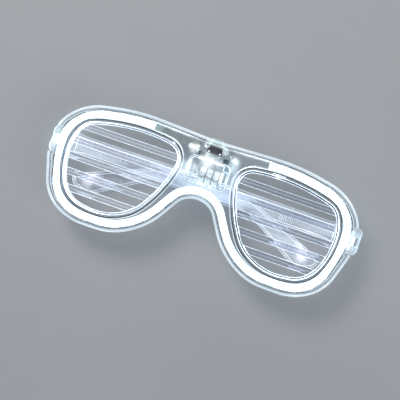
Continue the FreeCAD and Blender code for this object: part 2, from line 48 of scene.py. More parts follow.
# ---------------------------------------------------------------- nodes and shader maths
def add_node(tree, kind, settings=None, sockets=None):
    """A node with its settings made first, then each socket's value or link. A list gives several links."""
    made = tree.nodes.new(kind)
    for key, value in (settings or {}).items():
        setattr(made, key, value)
    for key, value in (sockets or {}).items():
        for item in value if isinstance(value, list) else [value]:
            source = item.socket if isinstance(item, Wire) else item
            if isinstance(source, bpy.types.NodeSocket):
                tree.links.new(source, made.inputs[key])
            else:
                made.inputs[key].default_value = source
    return made


def in_metres(point):
    return tuple(value * MM for value in point)


def colour(red, green, blue):
    return (red, green, blue, 1.0)


class Wire:
    """One output socket of a shader tree, with arithmetic."""

    def __init__(self, finish, socket):
        self.finish = finish
        self.socket = socket

    def maths(self, operation, *values, clamp=False):
        return self.finish.node("ShaderNodeMath", {"operation": operation, "use_clamp": clamp},
                                dict(enumerate(values)))

    def __add__(self, other):
        return self.maths("ADD", self, other)

    def __radd__(self, other):
        return self.maths("ADD", other, self)

    def __sub__(self, other):
        return self.maths("SUBTRACT", self, other)

    def __rsub__(self, other):
        return self.maths("SUBTRACT", other, self)

    def __mul__(self, other):
        return self.maths("MULTIPLY", self, other)

    def __rmul__(self, other):
        return self.maths("MULTIPLY", other, self)

    def __truediv__(self, other):
        return self.maths("DIVIDE", self, other)

    def __rtruediv__(self, other):
        return self.maths("DIVIDE", other, self)

    def __pow__(self, other):
        return self.maths("POWER", self, other)

    def __rpow__(self, other):
        return self.maths("POWER", other, self)

    def __gt__(self, other):
        return self.maths("GREATER_THAN", self, other)

    def __lt__(self, other):
        return self.maths("LESS_THAN", self, other)

    def absolute(self):
        return self.maths("ABSOLUTE", self)

    def most(self, other):
        return self.maths("MAXIMUM", self, other)

    def clipped(self):
        return self.maths("ADD", self, 0.0, clamp=True)

    def level(self, base, rise):
        """A strength that is the base where the value is nothing, and grows with it."""
        return base + self * rise

    def above(self, level, gain):
        """Nothing up to a level, then rising to one."""
        return ((self - level) * gain).clipped()

    def line_at(self, level, width):
        """One at a level, fading to nothing a width above and below it."""
        return (1.0 - (self - level).absolute() / width).clipped()

    def off_middle(self):
        """How far a value is from the middle of its whole step, from nothing to a half."""
        return (self.maths("FRACT", self) - 0.5).absolute()


class Finish:
    """A procedural material, built node by node."""

    def __init__(self, name):
        self.material = bpy.data.materials.new(name)
        self.material.use_nodes = True
        self.tree = self.material.node_tree
        self.tree.nodes.clear()

    def node(self, kind, settings=None, sockets=None, give=0):
        return Wire(self, add_node(self.tree, kind, settings, sockets).outputs[give])

    def place(self):
        return self.node("ShaderNodeTexCoord", give="Object")

    def axis(self, letter):
        return self.node("ShaderNodeSeparateXYZ", sockets={0: self.place()}, give=letter)

    def higher_than(self, level):
        """One above a level given in mm."""
        return self.axis("Z") > level * MM

    def noise(self, scale, detail=3.0, roughness=0.5, stretch=(1, 1, 1)):
        """Soft noise, with its scale to a metre. A stretch below one draws it out along that axis."""
        stretched = self.node("ShaderNodeMapping", sockets={"Vector": self.place(), "Scale": stretch})
        return self.node("ShaderNodeTexNoise", sockets={"Vector": stretched, "Scale": scale,
                                                        "Detail": detail, "Roughness": roughness})

    def cells(self, scale):
        return self.node("ShaderNodeTexVoronoi", sockets={"Vector": self.place(), "Scale": scale})

    def spread(self, value, low, high):
        return self.node("ShaderNodeMapRange", sockets={0: value, 3: low, 4: high})

    def mix_colour(self, amount, first, second):
        return self.node("ShaderNodeMix", {"data_type": "RGBA"}, {0: amount, 6: first, 7: second}, 2)

    def vector_maths(self, operation, first, second, give="Value"):
        return self.node("ShaderNodeVectorMath", {"operation": operation}, {0: first, 1: second}, give)

    def dot(self, first, second):
        return self.vector_maths("DOT_PRODUCT", first, second)

    def added(self, first, second):
        return self.vector_maths("ADD", first, second, "Vector")

    def scaled(self, tint, amount):
        return self.node("ShaderNodeVectorMath", {"operation": "SCALE"}, {0: tint, "Scale": amount})

    def distance(self, point):
        """Distance from a point given in mm, in metres."""
        return self.vector_maths("DISTANCE", self.place(), in_metres(point))

    def near(self, point, reach):
        """One at a point given in mm, fading to nothing at its reach."""
        return (1.0 - self.distance(point) / (reach * MM)).clipped()

    def flat_normal(self):
        return self.node("ShaderNodeNewGeometry", give="Normal")

    def rounded_normal(self, width, samples):
        """The surface's direction with its edges rounded to a width in mm."""
        return self.node("ShaderNodeBevel", {"samples": samples}, {"Radius": width * MM})

    def upright(self, direction):
        """How far a direction points up or down, from nothing to one."""
        return self.node("ShaderNodeSeparateXYZ", sockets={0: direction}, give="Z").absolute()

    def bump(self, height, strength, depth=0.1, normal=None):
        """Relief of a depth in mm, on the surface itself or on a rounded direction."""
        sockets = {"Height": height, "Strength": strength, "Distance": depth * MM}
        if normal is not None:
            sockets["Normal"] = normal
        return self.node("ShaderNodeBump", sockets=sockets)

    def surface(self, **sockets):
        """Ends the tree with a Principled shader and gives the material."""
        shader = self.node("ShaderNodeBsdfPrincipled",
                           sockets={name.replace("_", " "): value for name, value in sockets.items()})
        add_node(self.tree, "ShaderNodeOutputMaterial", sockets={"Surface": shader})
        return self.material


# ---------------------------------------------------------------- finishes of the clear plastics
# Painted pools of light where the moulding carries most light: (x, y, z) and reach in mm, strength, tint
LIGHT_POOLS = (
    ((-10.2, 24.0, 14.5), 3.8, 0.40, (0.96, 1.0, 0.88)),
    ((-10.6, 21.8, 14.5), 2.8, 0.40, (0.86, 0.95, 1.0)),
    ((11.3, 22.6, 14.5), 4.6, 0.34, (0.76, 0.93, 1.0)),
    ((12.2, 19.4, 14.5), 3.6, 0.34, (0.70, 0.88, 1.0)),
    ((-3.2, 20.6, 14.5), 4.6, 0.36, (0.95, 1.0, 0.93)),
    ((1.2, 20.0, 14.5), 4.2, 0.26, (0.96, 1.0, 0.96)),
    ((-1.6, 17.4, 15.0), 4.6, 0.30, (0.96, 1.0, 0.97)),
    ((4.6, 18.8, 14.5), 3.4, 0.22, (0.86, 0.98, 1.0)),
    ((0.0, 14.0, 14.0), 17.0, 0.08, (0.70, 0.88, 1.0)),
    ((0.0, 5.5, 13.0), 15.0, 0.06, (0.78, 0.92, 1.0)),
    ((-4.4, 29.6, 14.5), 2.6, 0.55, (0.95, 1.0, 0.97)),
    ((4.6, 28.6, 14.5), 2.8, 0.45, (0.80, 1.0, 0.96)),
    ((-14.0, 11.5, 15.5), 7.0, 0.12, (0.84, 0.95, 1.0)),
    ((-8.6, 14.0, 12.0), 6.0, 0.60, (0.84, 0.96, 1.0)),
    ((6.4, 13.6, 14.0), 4.2, 0.22, (0.86, 0.96, 1.0)),
    ((14.5, 13.5, 15.5), 8.0, 0.15, (0.66, 0.82, 1.0)),
    ((-30.2, 27.0, 14.5), 3.4, 0.16, (0.60, 1.0, 0.74)),
    ((34.0, 22.85, 16.0), 2.5, 0.7, (0.92, 0.94, 1.0)),
    ((-77.4, 5.4, 12.0), 5.0, 0.40, (0.80, 1.0, 0.94)),
    ((77.4, 5.4, 12.0), 5.0, 0.40, (0.80, 0.96, 1.0)),
)
# Painted pools of light where the arms carry light: their forked roots, beside the strip
ROOT_POOLS = (
    ((-81.0, 5.4, 6.5), 9.5, 0.24, (0.58, 1.0, 0.90)),
    ((81.0, 5.4, 6.5), 9.5, 0.24, (0.56, 0.88, 1.0)),
)
# Painted highlights where the ear hooks' thick ends gather light
HOOK_POOLS = (
    ((58.4, -11.0, 3.0), 4.8, 0.95, (0.98, 0.95, 1.0)),
    ((55.8, -6.4, 3.0), 4.8, 0.50, (0.92, 0.88, 0.97)),
    ((-58.4, -11.0, 3.0), 4.8, 0.40, (0.98, 0.95, 1.0)),
    ((-55.8, -6.4, 3.0), 4.8, 0.25, (0.92, 0.88, 0.97)),
)
POOL_FADE = 1.4
# Noise in the clear plastics, the last two for painted light: scale, detail, roughness, stretch
FLOW_MARKS = (90.0, 2.0, 0.5, (0.35, 1.0, 1.0))
SCUFFS = (900.0, 4.0, 0.7, (1.0, 0.2, 1.0))
GLOW_HAZE = (95.0, 6.0, 0.7, (0.3, 1.9, 1.0))
POOL_STREAKS = (330.0, 3.0, 0.6, (2.4, 0.55, 1.0))
# How high the flow marks and the scuffs stand in the relief, and its whole depth in mm
FLOW_RELIEF, SCUFF_RELIEF, RELIEF_DEPTH = 0.7, 0.06, 0.6
# Faces that point up or down more than the first share are flat, and those below the second count as walls
FLAT_SHARE, WALL_SHARE = 0.9, 0.8
# How sharply walls and edges are picked out, and how much of the walls' painted shade colour they take
WALL_GAIN, EDGE_GAIN, WALL_SHADE_SHARE = 2.0, 5.0, 0.8
# Painted light rings on the round posts behind the cover: centre on its face and radius in mm, strength
POST_LIGHT_RINGS = (
    ((-12.1, 24.0, 16.667), 1.05, 0.75),
    ((-4.4, 27.0, 16.667), 1.35, 0.5),
    ((5.3, 26.4, 16.667), 1.45, 0.45),
)
POST_WALL = 0.28
# Painted light: the lit edges round the battery box, near the lamps, are made brighter
BOX_MIDDLE, BOX_REACH, BOX_GAIN = (0.0, 15.0, 14.0), 17.0, 2.2
# Levels in mm: where the cover's lit edges begin, where the tray's lit rim begins, and between the slats and
# the face of their rim
COVER_EDGES_ABOVE, TRAY_RIM_ABOVE, SLATS_BELOW = 16.2, 16.3, 15.4
# Thin painted highlight line inside the cover's border: its distance from the border in mm and the
# direction's turn there
LINE_INSET, LINE_TURN = 1.9, 0.009
# The line is brighter on the brow, between the strip's ends: middle and reach in mm
LEFT_BROW, RIGHT_BROW, BROW_GAIN = ((-22.0, 27.0, 16.0), 15.0), ((20.0, 27.0, 16.0), 14.0), 2.6
EDGE_SAMPLES, LINE_SAMPLES = 6, 16
# Tints of the painted light in the clear plastics, from the strip's cooler light to its white
STRIP_SHADE, STRIP_WHITE = colour(0.66, 0.86, 1.0), colour(0.92, 0.98, 1.0)
PLASTIC_IOR = 1.49


def border_highlight(f, flat, lowest):
    """The thin painted highlight line on a face, inside its border, brightest on the brow."""
    turn = 1.0 - f.dot(flat, f.rounded_normal(LINE_INSET, LINE_SAMPLES))
    on_face = (f.upright(flat) > FLAT_SHARE) * f.higher_than(lowest)
    brow = f.near(*LEFT_BROW) + f.near(*RIGHT_BROW)
    return turn.line_at(LINE_TURN, LINE_TURN) * on_face * (1.0 + brow * BROW_GAIN)


def pool_light(f, light, flow, pools):
    """Adds streaky pools of painted light to the plastic's painted glow."""
    streak = f.noise(*POOL_STREAKS).above(0.36, 3.2)
    level = flow.level(0.25, 0.6) + streak * 1.1
    for point, reach, strength, tint in pools:
        light = f.added(light, f.scaled(tint, f.near(point, reach) ** POOL_FADE * strength * level))
    return light


def clear_plastic(name, tint, deep_tint, wall_shade, roughness, ripple, edge_glow, face_glow=0.0,
                  side_glow=0.0, edge_width=0.3, edges_above=None, rim_share=1.0, bright_above=None,
                  bright_glow=0.0, haze_glow=0.0, line_glow=0.0, posts=(), pools=LIGHT_POOLS + ROOT_POOLS):
    """Moulded clear plastic with flow marks and scuffs, painted shade on its walls, and painted light along
    its rounded edges.

    Widths and levels are in mm, glows are strengths, and roughness is a lowest and a highest value.
    """
    f = Finish(name)
    flow = f.noise(*FLOW_MARKS)
    scuff = f.noise(*SCUFFS)
    flat = f.flat_normal()
    rounded = f.rounded_normal(edge_width, EDGE_SAMPLES)
    # Painted highlights along the rounded edges, for the strip's light carried in the plastic
    edge = ((1.0 - f.dot(flat, rounded)) * EDGE_GAIN).clipped()
    if edges_above is not None:
        edge = edge * f.higher_than(edges_above)
    if rim_share < 1.0:
        edge = edge * (1.0 - f.higher_than(SLATS_BELOW) * (1.0 - rim_share))
    side = ((WALL_SHARE - f.upright(flat)) * WALL_GAIN).clipped()
    # All the painted light in the plastic: on its edges, its walls and its faces
    lit = edge * edge_glow * flow.level(0.35, 1.3) + side * side_glow * flow.level(0.2, 1.4)
    lit = lit * (1.0 + f.near(BOX_MIDDLE, BOX_REACH) * BOX_GAIN) + face_glow
    # A painted glow on the tray's rim, above a level
    if bright_above is not None:
        lit = lit + f.higher_than(bright_above) * bright_glow * flow.level(0.55, 0.9)
    # A painted hazy sheen in streaks over the faces, less on the walls
    if haze_glow:
        lit = lit + f.noise(*GLOW_HAZE).above(0.40, 4.0) * haze_glow * (1.0 - side)
    if line_glow:
        lit = lit + border_highlight(f, flat, edges_above) * line_glow
    # Painted light rings at the posts behind the cover
    for centre, radius, strength in posts:
        ring = (f.distance(centre) / MM).line_at(radius, POST_WALL)
        lit = lit + ring * flow.level(0.3, 1.4) * strength
    light = f.scaled(f.mix_colour(flow, STRIP_SHADE, STRIP_WHITE), lit)
    if pools:
        light = pool_light(f, light, flow, pools)
    relief = flow * FLOW_RELIEF + scuff * SCUFF_RELIEF
    # Base colour: the plastic's own tint with its flow marks, and painted shade on the walls
    tint_and_wall_shade = f.mix_colour(side * WALL_SHADE_SHARE, f.mix_colour(flow, tint, deep_tint), wall_shade)
    return f.surface(Base_Color=tint_and_wall_shade, Roughness=f.spread(scuff, *roughness),
                     Normal=f.bump(relief, ripple, RELIEF_DEPTH, rounded),
                     Transmission_Weight=1.0, IOR=PLASTIC_IOR, Emission_Color=light, Emission_Strength=1.0)


def rib_plastic(name, face_glow, edge_glow, side_glow):
    """The arm's plastic where it is thin: paler, smoother and without pools of light."""
    return clear_plastic(
        name, tint=colour(0.94, 0.94, 0.98), deep_tint=colour(0.88, 0.89, 0.95),
        wall_shade=colour(0.6, 0.62, 0.7), roughness=(0.1, 0.2), ripple=0.1, face_glow=face_glow,
        edge_glow=edge_glow, side_glow=side_glow, pools=())


cover_plastic = clear_plastic(
    "clear_cover", tint=colour(0.97, 0.985, 1.0), deep_tint=colour(0.93, 0.96, 0.99),
    wall_shade=colour(0.30, 0.36, 0.44), roughness=(0.015, 0.06), ripple=0.12, edge_glow=1.1,
    edge_width=0.22, edges_above=COVER_EDGES_ABOVE, line_glow=1.5, posts=POST_LIGHT_RINGS)
tray_plastic = clear_plastic(
    "clear_tray", tint=colour(0.95, 0.98, 1.0), deep_tint=colour(0.90, 0.95, 0.99),
    wall_shade=colour(0.56, 0.62, 0.70), roughness=(0.02, 0.09), ripple=0.2, edge_glow=0.45, side_glow=0.03,
    bright_above=TRAY_RIM_ABOVE, bright_glow=0.5)
# Lit and shaded copies of one plastic: the left grille is painted paler and with more glow than the right
left_slat_plastic = clear_plastic(
    "left_slats", tint=colour(0.86, 0.85, 0.91), deep_tint=colour(0.80, 0.79, 0.87),
    wall_shade=colour(0.40, 0.43, 0.52), roughness=(0.03, 0.10), ripple=0.2, face_glow=0.08, edge_glow=3.6,
    side_glow=0.35, edge_width=0.34, rim_share=0.4)
right_slat_plastic = clear_plastic(
    "right_slats", tint=colour(0.82, 0.84, 0.92), deep_tint=colour(0.74, 0.76, 0.87),
    wall_shade=colour(0.38, 0.42, 0.52), roughness=(0.03, 0.10), ripple=0.2, face_glow=0.02, edge_glow=3.6,
    side_glow=0.35, edge_width=0.32)
arm_plastic = clear_plastic(
    "clear_arm", tint=colour(0.90, 0.90, 0.96), deep_tint=colour(0.80, 0.81, 0.92),
    wall_shade=colour(0.56, 0.58, 0.70), roughness=(0.16, 0.34), ripple=0.5, face_glow=0.02, edge_glow=1.4,
    side_glow=0.14, edge_width=0.35, haze_glow=0.22, pools=ROOT_POOLS + HOOK_POOLS)
button_plastic = clear_plastic(
    "clear_button", tint=colour(0.72, 0.86, 0.80), deep_tint=colour(0.62, 0.80, 0.72),
    wall_shade=colour(0.42, 0.56, 0.52), roughness=(0.03, 0.10), ripple=0.2, face_glow=0.03, edge_glow=0.9,
    side_glow=0.3)
# Lit and shaded copies: the right arm's ribs are painted with more glow than the left arm's
left_rib_plastic = rib_plastic("left_ribs", face_glow=0.0, edge_glow=0.35, side_glow=0.08)
right_rib_plastic = rib_plastic("right_ribs", face_glow=0.02, edge_glow=1.1, side_glow=0.3)


# ---------------------------------------------------------------- finishes of the other pieces
# The lamps' chips: middle and reach in mm
LEFT_CHIP, RIGHT_CHIP = ((-9.0, 23.8, 14.2), 2.7), ((11.2, 23.5, 14.2), 3.0)
# The cells stand in a row along X: the row's left end and the thickness of one, in mm
CELLS_LEFT, CELL_THICKNESS = -4.1, 3.6
# A dark wavy reflection painted across the cells: its height in the box and half width, in mm
REFLECTION_HEIGHT, REFLECTION_WIDTH = 9.6, 0.8
# Tracks: how many to a metre along the board's X and Y, and how many to a mm across the film
BOARD_TRACKS_X, BOARD_TRACKS_Y, FILM_TRACKS = 700.0, 120.0, 1.6
# Half the width of a track, as a share of the step from one to the next
BOARD_TRACK_HALF, FILM_TRACK_HALF = 0.14, 0.12


def glowing_strip():
    """Milky light guide, brightest on its face, with cooler sides and a slow change of level along it."""
    f = Finish("glowing_strip")
    grain = f.noise(260.0, roughness=0.6)
    slow = f.noise(22.0, detail=1.0)
    face = f.upright(f.flat_normal()).above(0.5, 4.0)
    level = 0.16 + face * slow.level(0.62, 0.5)
    hot = f.mix_colour(grain, colour(0.66, 0.87, 1.0), colour(0.84, 0.95, 1.0))
    return f.surface(Base_Color=colour(0.85, 0.93, 1.0), Roughness=0.35,
                     Emission_Color=f.scaled(hot, level), Emission_Strength=1.9)


def lit_lamp():
    """Clear epoxy lamp, bright round its chip and clear at its rim."""
    f = Finish("lit_lamp")
    grain = f.noise(300.0, roughness=0.6)
    hot = f.mix_colour(grain, colour(0.80, 0.97, 0.92), colour(1.0, 1.0, 0.94))
    chips = f.near(*LEFT_CHIP).most(f.near(*RIGHT_CHIP))
    level = (chips * 1.9).clipped() * grain.level(0.1, 1.5)
    return f.surface(Base_Color=colour(0.88, 0.95, 0.97), Roughness=f.spread(grain, 0.1, 0.3),
                     Normal=f.bump(grain, 0.6, depth=0.4), Emission_Color=f.scaled(hot, level),
                     Emission_Strength=0.66)


def pale_board():
    """White solder mask with a fine glass weave and tracks."""
    f = Finish("pale_board")
    weave = f.cells(2600.0)
    track = (f.axis("X") * BOARD_TRACKS_X + f.axis("Y") * BOARD_TRACKS_Y).off_middle() < BOARD_TRACK_HALF
    mask = f.mix_colour(weave, colour(0.70, 0.76, 0.78), colour(0.84, 0.88, 0.90))
    base = f.mix_colour(track * 0.45, mask, colour(0.50, 0.60, 0.62))
    return f.surface(Base_Color=base, Roughness=f.spread(weave, 0.3, 0.45),
                     Normal=f.bump(weave + track, 0.25))


def white_flex():
    """Thin white flexible circuit, with a painted glow for the light of the strip in front of it."""
    f = Finish("white_flex")
    grain = f.noise(700.0)
    base = f.mix_colour(grain, colour(0.78, 0.78, 0.72), colour(0.9, 0.9, 0.86))
    glow = f.mix_colour(grain, colour(0.72, 0.86, 1.0), colour(0.9, 0.97, 1.0))
    return f.surface(Base_Color=base, Roughness=f.spread(grain, 0.35, 0.5), Normal=f.bump(grain, 0.15),
                     Emission_Color=glow, Emission_Strength=0.3)


def clear_film():
    """The circuit's bare tail: thin film with a faint green cast, fine copper lines and a faint painted glow.
    """
    f = Finish("clear_film")
    grain = f.noise(500.0)
    line = (f.axis("Y") / MM * FILM_TRACKS).off_middle() < FILM_TRACK_HALF
    film = f.mix_colour(grain, colour(0.76, 0.86, 0.80), colour(0.84, 0.91, 0.87))
    base = f.mix_colour(line * 0.6, film, colour(0.55, 0.53, 0.46))
    glow = f.scaled((0.60, 0.74, 0.70), grain.level(0.2, 0.4))
    return f.surface(Base_Color=base, Roughness=f.spread(grain, 0.15, 0.3), Alpha=0.35,
                     Normal=f.bump(grain, 0.1), Emission_Color=glow, Emission_Strength=0.35)


def dull_plastic(name, dark, light, roughness):
    """Moulded opaque plastic with a fine spark-eroded grain."""
    f = Finish(name)
    grain = f.noise(1800.0, detail=4.0, roughness=0.6)
    return f.surface(Base_Color=f.mix_colour(grain, dark, light),
                     Roughness=f.spread(grain, roughness, roughness + 0.15), Normal=f.bump(grain, 0.3))


def screw_steel():
    """Plated steel with fine drawn lines along the screw."""
    f = Finish("screw_steel")
    lines = f.noise(700.0, detail=5.0, roughness=0.7, stretch=(1, 1, 0.1))
    base = f.mix_colour(f.noise(160.0), colour(0.6, 0.61, 0.63), colour(0.48, 0.5002, 0.5355))
    return f.surface(Base_Color=base, Metallic=1.0, Roughness=f.spread(lines, 0.3, 0.5),
                     Normal=f.bump(lines, 0.2))


def lit_metal(name, level, scale=420.0, stretch=(1, 1, 1)):
    """Bright tin with a wavy skin and a painted glow for the light of the lamps beside it."""
    f = Finish(name)
    skin = f.noise(scale, roughness=0.6, stretch=stretch).above(0.3, 2.4)
    base = f.mix_colour(skin, colour(0.80, 0.82, 0.84), colour(0.95, 0.97, 0.98))
    glow = f.scaled((0.86, 0.97, 1.0), skin.level(0.4, 0.9))
    return f.surface(Base_Color=base, Metallic=1.0, Roughness=f.spread(skin, 0.15, 0.35),
                     Normal=f.bump(skin, 0.3), Emission_Color=glow, Emission_Strength=level)


def lit_cell():
    """Nickel-plated cell with painted glints for the lamps' light, painted shade at each rim and a painted
    dark reflection across it.
    """
    f = Finish("cell_steel")
    lines = f.noise(700.0, detail=5.0, roughness=0.7, stretch=(1, 0.1, 0.1))
    # Painted glints: patches of the lamps' light on the cells
    glint_spots = f.noise(260.0, detail=2.0)
    across = ((f.axis("X") / MM - CELLS_LEFT) / CELL_THICKNESS).off_middle()
    # Painted shade at each rim, where the cells meet
    rim_shade = (across * 2.0) ** 6.0
    # A painted dark reflection that wanders across the cells
    wave = f.noise(420.0, detail=2.0) * 2.6 + across * 1.6
    dark_reflection = (f.axis("Y") / MM - REFLECTION_HEIGHT).line_at(wave, REFLECTION_WIDTH)
    level = (1.0 - rim_shade) * (1.0 - dark_reflection * 0.85) * glint_spots.level(0.1, 1.3)
    base = f.mix_colour(rim_shade.most(dark_reflection * 0.6), colour(0.70, 0.72, 0.73), colour(0.10, 0.13, 0.15))
    shine = f.mix_colour(glint_spots, colour(0.72, 0.86, 0.92), colour(0.95, 1.0, 1.0))
    return f.surface(Base_Color=base, Metallic=1.0, Roughness=f.spread(lines, 0.16, 0.36),
                     Normal=f.bump(lines, 0.2), Emission_Color=f.scaled(shine, level),
                     Emission_Strength=0.7)


lamp_finish = lit_lamp()
cell_finish = lit_cell()
flex_finish = white_flex()
# The contacts, the switch lid's tabs and the solder carry painted glows and glints for the lamps' light
contact_finish = lit_metal("contact_steel", 0.42, scale=900.0, stretch=(1.0, 0.12, 1.0))
tab_finish = lit_metal("tab_tin", 0.9)
solder_finish = lit_metal("solder", 0.28)
part_finish = dull_plastic("part_resin", colour(0.03, 0.07, 0.08), colour(0.07, 0.14, 0.16), 0.35)
switch_finish = dull_plastic("switch_plastic", colour(0.035, 0.022, 0.024), colour(0.085, 0.060, 0.064), 0.45)
stem_finish = dull_plastic("white_plastic", colour(0.75, 0.76, 0.74), colour(0.86, 0.86, 0.84), 0.4)

FINISHES = {
    "front_shell": cover_plastic,
    "back_shell": tray_plastic,
    "battery_door": tray_plastic,
    "left_grille": left_slat_plastic,
    "right_grille": right_slat_plastic,
    "left_arm": arm_plastic,
    "right_arm": arm_plastic,
    "button_cap": button_plastic,
    "light_strip": glowing_strip(),
    "strip_ribbon": clear_film(),
    "left_lamp": lamp_finish,
    "right_lamp": lamp_finish,
    "circuit_board": pale_board(),
    "switch_body": switch_finish,
    "switch_plunger": stem_finish,
    "button_cell_1": cell_finish,
    "button_cell_2": cell_finish,
    "button_cell_3": cell_finish,
    "contact_spring": contact_finish,
    "contact_plate": contact_finish,
    "door_screw": screw_steel(),
}
for name, finish in FINISHES.items():
    piece = node_objects[name]
    if not piece.material_slots:
        piece.data.materials.append(finish)
    for slot in piece.material_slots:
        slot.material = finish


# ---------------------------------------------------------------- making pieces
def add_piece(name, mesh, finish, body):
    mesh.name = name
    if not mesh.materials:
        mesh.materials.append(finish)
    piece = bpy.data.objects.new(name, mesh)
    bpy.context.collection.objects.link(piece)
    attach(piece, body)
    return piece


def outward_mesh(name, sketch):
    """A plain mesh from a bmesh sketch, with its faces turned outwards."""
    bmesh.ops.recalc_face_normals(sketch, faces=sketch.faces)
    made = bpy.data.meshes.new(name)
    sketch.to_mesh(made)
    sketch.free()
    return made


class Grower:
    """A Geometry Nodes tree whose sizes are named inputs. It grows a pattern on a starting mesh."""

    def __init__(self, name):
        self.name = name
        self.tree = bpy.data.node_groups.new(name, "GeometryNodeTree")
        self.sizes = {}
        for way in ("INPUT", "OUTPUT"):
            self.tree.interface.new_socket("Geometry", in_out=way, socket_type="NodeSocketGeometry")
        self.entry = add_node(self.tree, "NodeGroupInput")

    def size(self, label, value, kind="NodeSocketFloat"):
        self.tree.interface.new_socket(label, in_out="INPUT", socket_type=kind)
        self.sizes[label] = value
        return self.entry.outputs[label]

    def start(self):
        return self.entry.outputs["Geometry"]

    def node(self, kind, settings=None, sockets=None, give=0):
        return add_node(self.tree, kind, settings, sockets).outputs[give]

    def grow(self, shape, start_mesh, finish, body):
        """Makes the tree's result a plain mesh on a body."""
        real = self.node("GeometryNodeRealizeInstances", sockets={0: shape})
        dressed = self.node("GeometryNodeSetMaterial", sockets={0: real, "Material": finish})
        add_node(self.tree, "NodeGroupOutput", sockets={0: dressed})
        host = bpy.data.objects.new(self.name + "_host", start_mesh)
        bpy.context.collection.objects.link(host)
        growth = host.modifiers.new(self.name, "NODES")
        growth.node_group = self.tree
        for item in self.tree.interface.items_tree:
            if item.in_out == "INPUT" and item.name in self.sizes:
                growth[item.identifier] = self.sizes[item.name]
        bpy.context.view_layer.update()
        mesh = bpy.data.meshes.new_from_object(host.evaluated_get(bpy.context.evaluated_depsgraph_get()))
        host.modifiers.clear()
        bpy.data.objects.remove(host)
        return add_piece(self.name, mesh, finish, body)


# ---------------------------------------------------------------- flexible circuit behind the strip
FLEX_THICKNESS, FLEX_INSET, FLEX_GAP = 0.10 * MM, 0.45 * MM, 0.02 * MM
STRIP_MIDDLE_INSET = 1.62 * MM
# The strip's back: how squarely its faces point down, how far from its level they may lie, and how near
# points are joined
BACK_TURN, BACK_TOLERANCE, JOIN_DISTANCE = -0.9, 0.05 * MM, 1e-6
# Faces that turn less than this, in radians, become one
FLAT_ANGLE = 0.01
# The strip's ends on the brow, how near to the right one the path stops, and the most points it may have
LEFT_END, RIGHT_END, END_REACH = Vector((-0.031, 0.0289)), Vector((0.0285, 0.0289)), 1.2 * MM
MOST_POINTS = 2000
# Solder pads, in metres: how far apart the pairs are, one pad's size, and how far along its fellow lies
PAD_PITCH, PAD_LENGTH, PAD_WIDTH, PAD_THICKNESS, PAD_GAP = 8.4 * MM, 1.3 * MM, 1.1 * MM, 0.07 * MM, 2.2 * MM
PAD_DROP = (0, 0, -0.16 * MM)


def strip_back():
    """The strip's flat back face alone, from a copy of its mesh with the loose triangles joined."""
    mesh = bmesh.new()
    mesh.from_mesh(node_objects["light_strip"].data)
    bmesh.ops.remove_doubles(mesh, verts=mesh.verts, dist=JOIN_DISTANCE)
    mesh.normal_update()
    others = [face for face in mesh.faces
              if face.normal.z > BACK_TURN or abs(face.calc_center_median().z - STRIP_BACK) > BACK_TOLERANCE]
    bmesh.ops.delete(mesh, geom=others, context="FACES")
    bmesh.ops.dissolve_limit(mesh, angle_limit=FLAT_ANGLE, verts=mesh.verts, edges=mesh.edges)
    return mesh


def draw_in(mesh, distance):
    """Takes a border of an even width off a flat shape."""
    border = bmesh.ops.inset_region(mesh, faces=mesh.faces, thickness=distance)
    bmesh.ops.delete(mesh, geom=border["faces"], context="FACES")


def flexible_circuit():
    """White ribbon glued along the strip's back, a little narrower than the strip."""
    mesh = strip_back()
    draw_in(mesh, FLEX_INSET)
    for vert in mesh.verts:
        vert.co.z = STRIP_BACK - FLEX_GAP
    solid = bmesh.ops.extrude_face_region(mesh, geom=mesh.faces[:])
    for item in solid["geom"]:
        if isinstance(item, bmesh.types.BMVert):
            item.co.z -= FLEX_THICKNESS
    bmesh.ops.triangulate(mesh, faces=mesh.faces)
    name = "flexible_circuit"
    return add_piece(name, outward_mesh(name, mesh), flex_finish, "front")


def strip_middle():
    """Open path along the strip's middle, from its left end round both eyes to its right end."""
    mesh = strip_back()
    draw_in(mesh, STRIP_MIDDLE_INSET)
    borders = {edge for edge in mesh.edges if len(edge.link_faces) == 1}
    left_half = [vert for vert in mesh.verts if vert.co.x < 0]
    start = min(left_half, key=lambda vert: (vert.co.xy - LEFT_END).length)
    chain, used = [start], set()
    while len(chain) <= MOST_POINTS:
        onward = [edge for edge in chain[-1].link_edges if edge in borders and edge not in used]
        if chain[-1] is start:
            onward = sorted(onward, key=lambda edge: edge.other_vert(start).co.x)[:1]
        if not onward:
            break
        used.add(onward[0])
        chain.append(onward[0].other_vert(chain[-1]))
        if chain[-1].co.x > 0 and (chain[-1].co.xy - RIGHT_END).length < END_REACH:
            break
    points = [vert.co.copy() for vert in chain]
    mesh.free()
    path = bpy.data.meshes.new("strip_middle")
    path.from_pydata(points, [(i, i + 1) for i in range(len(points) - 1)], [])
    return path


